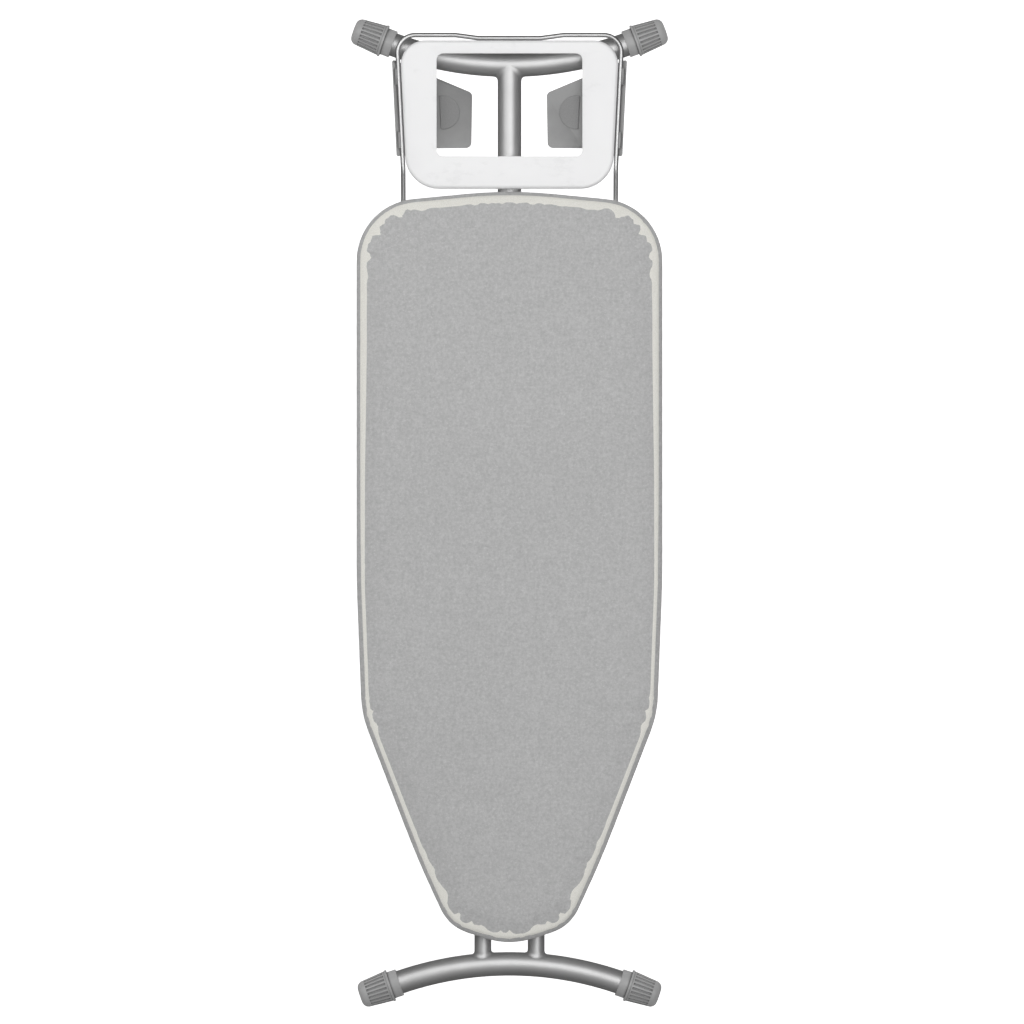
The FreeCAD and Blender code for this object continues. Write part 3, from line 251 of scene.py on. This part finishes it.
def moulded(name, level, roughness=0.5, grain=0.0007):
    """Moulded plastic with a fine spark-eroded texture, and painted shade darkening its grooves."""
    recipe = Recipe(name, grey(level), roughness)
    texture = recipe.noise(grain, detail=3.0, roughness=0.6)
    cloud = recipe.noise(0.03, detail=3.0)
    tone = recipe.ramp(cloud, grey(level * 0.94), grey(level * 1.06))
    # Painted shade: grooves and inside corners darkened towards 0.4 of the plastic's grey.
    recipe.colour(recipe.painted_crevice_shade(tone, (*grey(level * 0.4), 1.0), 0.004))
    recipe.roughness(recipe.span(texture, roughness - 0.08, roughness + 0.1))
    recipe.bump(texture, 0.00006, 0.6)
    recipe.shader.inputs["Specular IOR Level"].default_value = 0.45
    return recipe.material


def enamel(name, colour, roughness=0.28, scuffs=0.0):
    """Sprayed enamel on steel, with a slight orange peel and, where it is used, scuffs."""
    recipe = Recipe(name, colour, roughness)
    peel = recipe.noise(0.0035, detail=2.0)
    cloud = recipe.noise(0.08, detail=2.0)
    tone = recipe.ramp(cloud, tuple(c * 0.975 for c in colour), colour)
    gloss = recipe.span(peel, roughness - 0.05, roughness + 0.08)
    if scuffs:
        scratch = recipe.noise(0.008, detail=6.0, roughness=0.75, where=recipe.stretched((0.7, 1.0, 1.0)))
        patch = recipe.noise(0.06, detail=2.0)
        rubbed = recipe.combine("MULTIPLY", scratch, patch)
        mask = recipe.ramp(rubbed, grey(0.0), grey(scuffs), 0.31, 0.4)
        tone = recipe.blend(mask, tone, (*[c * 0.72 for c in colour], 1.0))
        gloss = recipe.combine("ADD", gloss, recipe.combine("MULTIPLY", mask_value(recipe, mask), 0.2))
    recipe.colour(tone)
    recipe.roughness(gloss)
    recipe.bump(peel, 0.00005, 0.35)
    recipe.shader.inputs["Coat Weight"].default_value = 0.2
    recipe.shader.inputs["Coat Roughness"].default_value = 0.12
    return recipe.material


def mask_value(recipe, colour):
    """A grey colour as one number."""
    node = recipe.add("ShaderNodeRGBToBW")
    recipe.join(colour, node.inputs["Color"])
    return node.outputs["Val"]


def soft_rubber():
    recipe = Recipe("soft_rubber", grey(0.25), 0.7)
    pebble = recipe.noise(0.0014, detail=3.0)
    recipe.colour(recipe.ramp(pebble, grey(0.24), grey(0.28)))
    recipe.roughness(recipe.span(pebble, 0.68, 0.85))
    recipe.bump(pebble, 0.0001, 0.6)
    return recipe.material


def open_foam():
    recipe = Recipe("open_foam", (0.78, 0.77, 0.72), 0.95)
    cells = recipe.add("ShaderNodeTexVoronoi")
    cells.inputs["Scale"].default_value = 900.0
    recipe.join(recipe.place, cells.inputs["Vector"])
    recipe.colour(recipe.ramp(cells.outputs["Distance"], (0.66, 0.65, 0.6), (0.82, 0.81, 0.76), 0.0, 0.6))
    recipe.bump(cells.outputs["Distance"], 0.0004, 0.8)
    return recipe.material


FINISHES = {
    "enamelled_steel": enamel("grey_enamel", (0.46, 0.465, 0.47), 0.4),
    "foam": open_foam(),
    "cover_fabric": cover_cloth(),
    "dark_plastic": moulded("black_nylon", 0.035, 0.42),
    "grey_plastic": moulded("grey_plastic", 0.37, 0.42),
    # Darker than the flaps' own light grey: the difference is painted shade from the plate above them.
    "flap_plastic": moulded("flap_plastic", 0.3, 0.5),
    "soft_rubber": soft_rubber(),
    "zinc_steel": zinc_steel(),
    "silver_tube": silver_tube(),
    "chromed_wire": plated_wire(),
    "white_enamel": enamel("white_enamel", (0.86, 0.86, 0.865), 0.3, scuffs=0.16),
}


def finish_cad_nodes():
    """Give every carried-over node the finish of its slot."""
    for row in frame["record"]["subparts"]:
        materials = NODES[row["node"]].data.materials
        material = FINISHES[row["material_slot"]]
        if len(materials):
            for i in range(len(materials)):
                materials[i] = material
        else:
            materials.append(material)


def dress(piece, slot_name, body):
    """Finish a new piece: the material of its slot, and the body it rides on."""
    piece.data.materials.clear()
    piece.data.materials.append(FINISHES[slot_name])
    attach(piece, body)


# Shared modelling steps

def deselect():
    bpy.ops.object.select_all(action="DESELECT")


def only(piece):
    deselect()
    piece.select_set(True)
    bpy.context.view_layer.objects.active = piece


def smooth(piece, angle=35):
    only(piece)
    bpy.ops.object.shade_smooth_by_angle(angle=math.radians(angle))


def softened(node, name, slot_name, body, width):
    """A CAD node's own shape with its sharp edges rounded over."""
    mesh = NODES[node].data.copy()
    piece = bpy.data.objects.new(name, mesh)
    bpy.context.scene.collection.objects.link(piece)
    only(piece)
    bpy.ops.object.mode_set(mode="EDIT")
    bpy.ops.mesh.select_all(action="SELECT")
    bpy.ops.mesh.remove_doubles(threshold=1e-5)
    bpy.ops.mesh.dissolve_limited(angle_limit=math.radians(0.5))
    bpy.ops.object.mode_set(mode="OBJECT")
    round_over = piece.modifiers.new("round_over", "BEVEL")
    round_over.width = width
    round_over.segments = 3
    round_over.limit_method = "ANGLE"
    round_over.angle_limit = math.radians(40)
    round_over.use_clamp_overlap = True
    bpy.ops.object.modifier_apply(modifier=round_over.name)
    smooth(piece, 40)
    dress(piece, slot_name, body)
    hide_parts(node)


def section_outline(node, height):
    """The outermost loop of a horizontal cut through a CAD node, as points in order."""
    work = bmesh.new()
    work.from_mesh(NODES[node].data)
    bmesh.ops.remove_doubles(work, verts=work.verts, dist=1e-5)
    cut = bmesh.ops.bisect_plane(
        work, geom=work.verts[:] + work.edges[:] + work.faces[:],
        plane_co=(0, 0, height), plane_no=(0, 0, 1), clear_inner=True, clear_outer=True,
    )
    edges = [e for e in cut["geom_cut"] if isinstance(e, bmesh.types.BMEdge)]
    links = {}
    for edge in edges:
        a, b = edge.verts
        links.setdefault(a, []).append(b)
        links.setdefault(b, []).append(a)
    loops = []
    waiting = set(links)
    while waiting:
        start = max(waiting, key=lambda v: (v.co.y, v.co.x))
        loop, before, here = [start], None, start
        while True:
            after = next((v for v in links[here] if v is not before and v not in loop[1:]), None)
            if after is None or after is start:
                break
            loop.append(after)
            before, here = here, after
        waiting -= set(loop)
        loops.append([v.co.copy() for v in loop])
    work.free()
    return max(loops, key=lambda points: max(p.x for p in points))


def half_outline(node, height, count):
    """Evenly spaced points down the right half of a node's outline, rear centre to nose tip."""
    loop = section_outline(node, height)
    if loop[1].x < loop[0].x:
        loop = [loop[0]] + loop[:0:-1]
    start = max(range(len(loop)), key=lambda i: loop[i].y - abs(loop[i].x))
    loop = loop[start:] + loop[:start]
    right = [p for p in loop if p.x > 1e-4]
    centre_y = (max(p.y for p in loop) + min(p.y for p in loop)) / 2
    right.sort(key=lambda p: math.atan2(p.x, p.y - centre_y))
    rear = Vector((0, max(p.y for p in loop), 0))
    tip = Vector((0, min(p.y for p in loop), 0))
    chain = [rear] + [Vector((p.x, p.y, 0)) for p in right] + [tip]
    steps = np.cumsum([0.0] + [(b - a).length for a, b in zip(chain, chain[1:])])
    wanted = np.linspace(0, steps[-1], count)
    xs = np.interp(wanted, steps, [p.x for p in chain])
    ys = np.interp(wanted, steps, [p.y for p in chain])
    return np.column_stack([xs, ys])


# The padded top

HALF_POINTS = 260
HELD_TO = 0.018      # the cover is held from its hem up to this height
HELD_FADE = 0.006    # and fully held this far below it
MOST_MOVED = 0.0025  # how far the simulation may move the cover


def top_outline():
    """The cover's outline as points in order, with the outward normal and the way round at each."""
    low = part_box("cover")[0][2]
    right = half_outline("cover", low + 0.011, HALF_POINTS)
    left = right[-2:0:-1] * np.array([-1.0, 1.0])
    outline = np.vstack([right, left])
    before, after = np.roll(outline, 1, axis=0), np.roll(outline, -1, axis=0)
    run = after - before
    normal = np.column_stack([-run[:, 1], run[:, 0]])
    normal /= np.linalg.norm(normal, axis=1)[:, None]
    if (normal[HALF_POINTS // 2] * outline[HALF_POINTS // 2])[0] < 0:
        normal = -normal
    around = np.cumsum(np.linalg.norm(outline - before, axis=1))
    around *= 2 * math.pi / around[-1]
    return outline, normal, around


def inner_rings(ring, height, steps):
    """Rings from a closed ring in to a line down the middle, all at one height."""
    edge = ring[:, :2]
    spine_low, spine_high = edge[:, 1].min() + 0.11, edge[:, 1].max() - 0.17
    spine = np.column_stack([np.zeros(len(edge)), np.clip(edge[:, 1], spine_low, spine_high)])
    rings = []
    for k in range(1, steps + 1):
        flat = edge + (spine - edge) * k / steps
        rings.append(np.column_stack([flat, np.full(len(flat), height)]))
    return rings


def cover_rings():
    """Rings of the cover, from the drawcord tunnel in its hem over the rim to the middle of the top."""
    low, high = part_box("cover")[0][2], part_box("cover")[1][2]
    outline, normal, around = top_outline()
    # (inwards, up) from the foot of the side wall, in millimetres
    side = [
        (20.0, 1.3), (20.4, 2.1), (21.3, 2.4), (22.2, 2.1), (22.7, 1.3), (22.3, 0.5), (21.4, 0.15),
        (20.2, 0.25), (19.0, 0.5), (15.0, 0.35), (10.5, 0.25), (6.5, 0.2), (3.2, 0.6), (1.2, 1.9),
        (0.3, 4.0), (0.0, 6.5), (0.0, 9.0), (0.1, 11.5), (0.5, 14.0), (1.4, 16.6), (3.0, 19.0),
        (5.2, 21.0), (8.2, 22.3), (12.0, 22.9), (16.5, 23.0),
    ]
    rings = []
    for inset, rise in side:
        gather = gathers(around, rise)
        flat = outline - normal * (inset * MM + gather[:, None] * (inset < 18))
        height = np.full(len(flat), low + rise * MM)
        if inset > 8 and rise < 3:
            height += 0.5 * gather * (22.7 - inset) / 15
        rings.append(np.column_stack([flat, height]))
    return rings + inner_rings(rings[-1], high, 26)


def foam_rings():
    """Rings of the foam slab, closed below and above, with a soft upper edge inside the cover's."""
    low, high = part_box("foam_pad")[0][2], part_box("foam_pad")[1][2]
    outline, normal, _ = top_outline()
    margin, roll = 4 * MM, 8 * MM
    rings = []
    for rise in (0.0, 0.1, 0.3, 0.5, 0.7, 0.85, 0.95, 1.0):
        lean = max(rise - 0.1, 0) / 0.9
        inset = margin + roll * (1 - math.sqrt(1 - lean**2))
        flat = outline - normal * inset
        rings.append(np.column_stack([flat, np.full(len(flat), low + rise * (high - low))]))
    under = inner_rings(rings[0], low, 12)
    return under[::-1] + rings + inner_rings(rings[-1], high, 12)


def gathers(around, rise):
    """Small puckers where the drawn hem pulls the cover round the rim."""
    depth = np.interp(rise, [0, 3, 9, 15, 19], [1.1, 0.8, 0.35, 0.12, 0.0]) * MM
    waves = (
        0.5 * np.sin(97 * around + 0.7 * np.sin(11 * around))
        + 0.3 * np.sin(151 * around + 1.3 * np.sin(7 * around))
        + 0.2 * np.sin(61 * around)
    )
    return depth * (0.5 + 0.5 * waves)


def mesh_from_rings(name, rings):
    """One skin through closed rings of equal length."""
    count = len(rings[0])
    points = np.vstack(rings)
    faces = []
    for k in range(len(rings) - 1):
        for i in range(count):
            j = (i + 1) % count
            faces.append((k * count + i, k * count + j, (k + 1) * count + j, (k + 1) * count + i))
    mesh = bpy.data.meshes.new(name)
    mesh.from_pydata(points.tolist(), [], faces)
    piece = bpy.data.objects.new(name, mesh)
    bpy.context.scene.collection.objects.link(piece)
    work = bmesh.new()
    work.from_mesh(mesh)
    bmesh.ops.remove_doubles(work, verts=work.verts, dist=2e-5)
    work.faces.ensure_lookup_table()
    if max(work.faces, key=lambda f: f.calc_center_median().z).normal.z < 0:
        bmesh.ops.reverse_faces(work, faces=work.faces)
    work.to_mesh(mesh)
    work.free()
    return piece


def settle_cloth(piece, held, cap, pressure=4.0, frames=20):
    """Cloth under pressure, held below and moved by cap at most. It doesn't collide with the foam."""
    group = piece.vertex_groups.new(name="held")
    for index, weight in enumerate(held):
        if weight > 0:
            group.add([index], float(weight), "REPLACE")
    start = np.array([v.co for v in piece.data.vertices])
    cloth = piece.modifiers.new("swell", "CLOTH")
    settings = cloth.settings
    settings.quality = 6
    settings.mass = 0.25
    settings.tension_stiffness = 20
    settings.compression_stiffness = 12
    settings.shear_stiffness = 8
    settings.bending_stiffness = 1.5
    settings.use_pressure = True
    settings.uniform_pressure_force = pressure
    settings.vertex_group_mass = "held"
    settings.effector_weights.gravity = 0
    cloth.collision_settings.use_collision = False
    cloth.point_cache.frame_start = 1
    cloth.point_cache.frame_end = frames
    for step in range(1, frames + 1):
        bpy.context.scene.frame_set(step)
    settled = piece.evaluated_get(bpy.context.evaluated_depsgraph_get()).data
    moved = np.array([v.co for v in settled.vertices]) - start
    piece.modifiers.clear()
    piece.vertex_groups.clear()
    bpy.context.scene.frame_set(1)
    reach = np.linalg.norm(moved, axis=1)
    limit = cap * np.tanh(reach / cap) / np.maximum(reach, 1e-9)
    final = start + moved * limit[:, None]
    piece.data.vertices.foreach_set("co", final.ravel())
    piece.data.update()


def ironing_cover():
    piece = mesh_from_rings("ironing_cover", cover_rings())
    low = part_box("cover")[0][2]
    heights = np.array([v.co.z for v in piece.data.vertices])
    held = np.clip((low + HELD_TO - heights) / HELD_FADE, 0.0, 1.0)
    settle_cloth(piece, held, MOST_MOVED)
    only(piece)
    thick = piece.modifiers.new("cloth_thickness", "SOLIDIFY")
    thick.thickness = 0.0008
    thick.offset = -1
    bpy.ops.object.modifier_apply(modifier=thick.name)
    bpy.ops.object.shade_smooth()
    dress(piece, "cover_fabric", "board")
    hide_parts("cover")


def foam_slab():
    piece = mesh_from_rings("foam_slab", foam_rings())
    smooth(piece)
    dress(piece, "foam", "board")
    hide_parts("foam_pad")


# The iron rest

def iron_rest():
    """The pressed plate, the flaps under it and their pads, each with slightly rounded edges."""
    softened("rest_plate", "iron_rest_plate", "white_enamel", "board", 0.0005)
    for side in SIDES:
        softened(f"rest_flap_{side}", f"folding_flap_{side}", "flap_plastic", f"flap_{side}", 0.0005)
        softened(f"flap_pad_{side}", f"silicone_pad_{side}", "soft_rubber", f"flap_{side}", 0.0007)


# Welds

ROUND, SECTION = 144, 14  # places round a weld, and points in its outline
TOE = 8                   # the point of the outline where the fillet ends on the foot
FOOT_BEND = 0.5           # bend of both feet


def weld_section(turn, x, tube_radius, foot_radius, leg_length):
    """The closed outline of a weld at one place round a tube, as (across, along, up) from the foot's axis.

    A hollow fillet runs from the tube to the foot, and the rest of the outline is sunk in the metal.
    """
    up, across = math.sin(turn), math.cos(turn)
    seat = math.asin(max(-1.0, min(1.0, tube_radius * up / foot_radius)))
    ripple = leg_length * (1 + 0.06 * math.sin(48 * turn))
    corner = Vector((tube_radius * across, foot_radius * math.cos(seat), tube_radius * up))
    on_tube = corner + Vector((0, ripple, 0))
    rolled = seat + up * ripple / foot_radius
    foot_across = corner.x + across * ripple
    on_foot = Vector((foot_across, foot_radius * math.cos(rolled), foot_radius * math.sin(rolled)))
    points = []
    for k in range(TOE + 1):
        share = k / TOE
        points.append(on_tube * (1 - share)**2 + corner * 2 * share * (1 - share) + on_foot * share**2)
    sunk = corner - Vector((across, 1.0, up)) * 1.2 * MM
    for k in range(TOE + 1, SECTION):
        share = (k - TOE) / (SECTION - TOE)
        points.append(on_foot * (1 - share)**2 + sunk * 2 * share * (1 - share) + on_tube * share**2)
    return [p + Vector((x, 0, 0)) for p in points]


def weld_bead(name, body, tube_radius, foot_radius, x, foot_y, way, leg_length):
    """The weld where a leg tube meets its bent foot: a ring remade as a rippled fillet."""
    low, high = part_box("t_foot_tube" if body == "t_leg" else "twin_foot_tube")
    axis_z = (low[2] + high[2]) / 2
    deselect()
    bpy.ops.mesh.primitive_torus_add(
        major_segments=ROUND, minor_segments=SECTION, major_radius=tube_radius,
        minor_radius=leg_length / 2, location=(0, 0, 0),
    )
    piece = bpy.context.object
    piece.name = name
    for i in range(ROUND):
        section = weld_section(2 * math.pi * i / ROUND, x, tube_radius, foot_radius, leg_length)
        for k, point in enumerate(section):
            y = foot_y + way * (point.x**2 / (2 * FOOT_BEND)) - way * point.y
            piece.data.vertices[i * SECTION + k].co = (point.x, y, axis_z + point.z)
    bpy.ops.object.mode_set(mode="EDIT")
    bpy.ops.mesh.select_all(action="SELECT")
    bpy.ops.mesh.normals_make_consistent(inside=False)
    bpy.ops.object.mode_set(mode="OBJECT")
    smooth(piece, 60)
    dress(piece, "silver_tube", body)


def weld_beads():
    foot_radius = (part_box("t_foot_tube")[1][2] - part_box("t_foot_tube")[0][2]) / 2
    leg_low, leg_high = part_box("t_leg_tube")
    foot_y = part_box("t_foot_tube")[0][1] + foot_radius
    weld_bead("t_weld", "t_leg", (leg_high[0] - leg_low[0]) / 2, foot_radius, 0, foot_y, 1, 7 * MM)
    twin_foot_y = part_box("twin_foot_tube")[1][1] - foot_radius
    for side in SIDES:
        low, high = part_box(f"twin_tube_{side}")
        radius, x = (high[0] - low[0]) / 2, (high[0] + low[0]) / 2
        weld_bead(f"twin_weld_{side}", "twin_leg", radius, foot_radius, x, twin_foot_y, -1, 5 * MM)


# Camera, light and floor

FIELD_TO_LENGTH = 1.0318  # what the camera takes in, as a share of the object's length


def floor_height():
    """The level where the feet stand when the board is fully open."""
    fold = next(j for j in frame["joints"] if j["name"] == "board_fold")
    _, hinge_y, axis_z = fold["pos_m"]
    turn = math.radians(fold["range_deg"][1])
    levels = []
    for node, pivot_y in (("t_foot_cap_left", hinge_y), ("twin_foot_cap_left", -hinge_y)):
        for vertex in NODES[node].data.vertices:
            reach, rise = abs(vertex.co.y - pivot_y), vertex.co.z - axis_z
            levels.append(axis_z + rise * math.cos(turn) - reach * math.sin(turn))
    return min(levels)


def studio():
    low, high = cad_box
    centre = [(a + b) / 2 for a, b in zip(low, high)]
    length = high[1] - low[1]
    camera_data = bpy.data.cameras.new("camera")
    camera_data.lens = 200
    camera_data.clip_end = 50
    camera = bpy.data.objects.new("camera", camera_data)
    bpy.context.scene.collection.objects.link(camera)
    field = length * FIELD_TO_LENGTH
    away = field * camera_data.lens / camera_data.sensor_width
    camera.location = (centre[0] + 0.0037, centre[1] + 0.0015, high[2] + away)
    bpy.context.scene.camera = camera

    bpy.ops.mesh.primitive_plane_add(size=60, location=(0, 0, floor_height()))
    floor = bpy.context.object
    floor.name = "floor"
    paint = bpy.data.materials.new("pale_floor")
    paint.use_nodes = True
    shader = next(k for k in paint.node_tree.nodes if k.type == "BSDF_PRINCIPLED")
    shader.inputs["Base Color"].default_value = (0.85, 0.85, 0.85, 1)
    shader.inputs["Roughness"].default_value = 0.9
    shader.inputs["Emission Color"].default_value = (1, 1, 1, 1)
    shader.inputs["Emission Strength"].default_value = 0.75
    floor.data.materials.append(paint)
    floor.visible_glossy = False

    lamp("key", (0.8, 0.6, 4.4), (4.6, 2.6), 100)
    lamp("fill", (-2.2, 1.6, 3.2), (2.4, 2.4), 40)
    surroundings()
    bpy.context.scene.view_settings.view_transform = "Standard"


def lamp(name, place, size, power):
    data = bpy.data.lights.new(name, "AREA")
    data.shape = "RECTANGLE"
    data.size, data.size_y = size
    data.energy = power
    light = bpy.data.objects.new(name, data)
    light.location = place
    light.rotation_euler = (-Vector(place)).to_track_quat("-Z", "Y").to_euler()
    bpy.context.scene.collection.objects.link(light)


def surroundings():
    """Soft surroundings, bright overhead and dim towards the floor, behind a white backdrop."""
    world = bpy.data.worlds.new("studio")
    bpy.context.scene.world = world
    world.use_nodes = True
    tree = world.node_tree
    backdrop = next(k for k in tree.nodes if k.type == "BACKGROUND")
    direction = tree.nodes.new("ShaderNodeTexCoord")
    parts = tree.nodes.new("ShaderNodeSeparateXYZ")
    height = tree.nodes.new("ShaderNodeMapRange")
    height.inputs["From Min"].default_value = -1.0
    ramp = tree.nodes.new("ShaderNodeValToRGB")
    bands = ((0.0, 0.06), (0.42, 0.1), (0.55, 0.1), (0.75, 0.2), (1.0, 0.5))
    ramp.color_ramp.elements[0].position, ramp.color_ramp.elements[1].position = 0.0, 1.0
    for position, _ in bands[1:-1]:
        ramp.color_ramp.elements.new(position)
    for element, (_, level) in zip(ramp.color_ramp.elements, bands):
        element.color = (level, level, level, 1)
    tree.links.new(direction.outputs["Generated"], parts.inputs["Vector"])
    tree.links.new(parts.outputs["Z"], height.inputs["Value"])
    tree.links.new(height.outputs["Result"], ramp.inputs["Fac"])
    path = tree.nodes.new("ShaderNodeLightPath")
    backing = tree.nodes.new("ShaderNodeMix")
    backing.data_type = "RGBA"
    sockets = {socket.identifier: socket for socket in backing.inputs}
    factor, light, white = (sockets[name] for name in ("Factor_Float", "A_Color", "B_Color"))
    white.default_value = (1, 1, 1, 1)
    tree.links.new(path.outputs["Is Camera Ray"], factor)
    tree.links.new(ramp.outputs["Color"], light)
    shown = next(s for s in backing.outputs if s.identifier == "Result_Color")
    tree.links.new(shown, backdrop.inputs["Color"])


deselect()
finish_cad_nodes()
ironing_cover()
foam_slab()
iron_rest()
weld_beads()
studio()
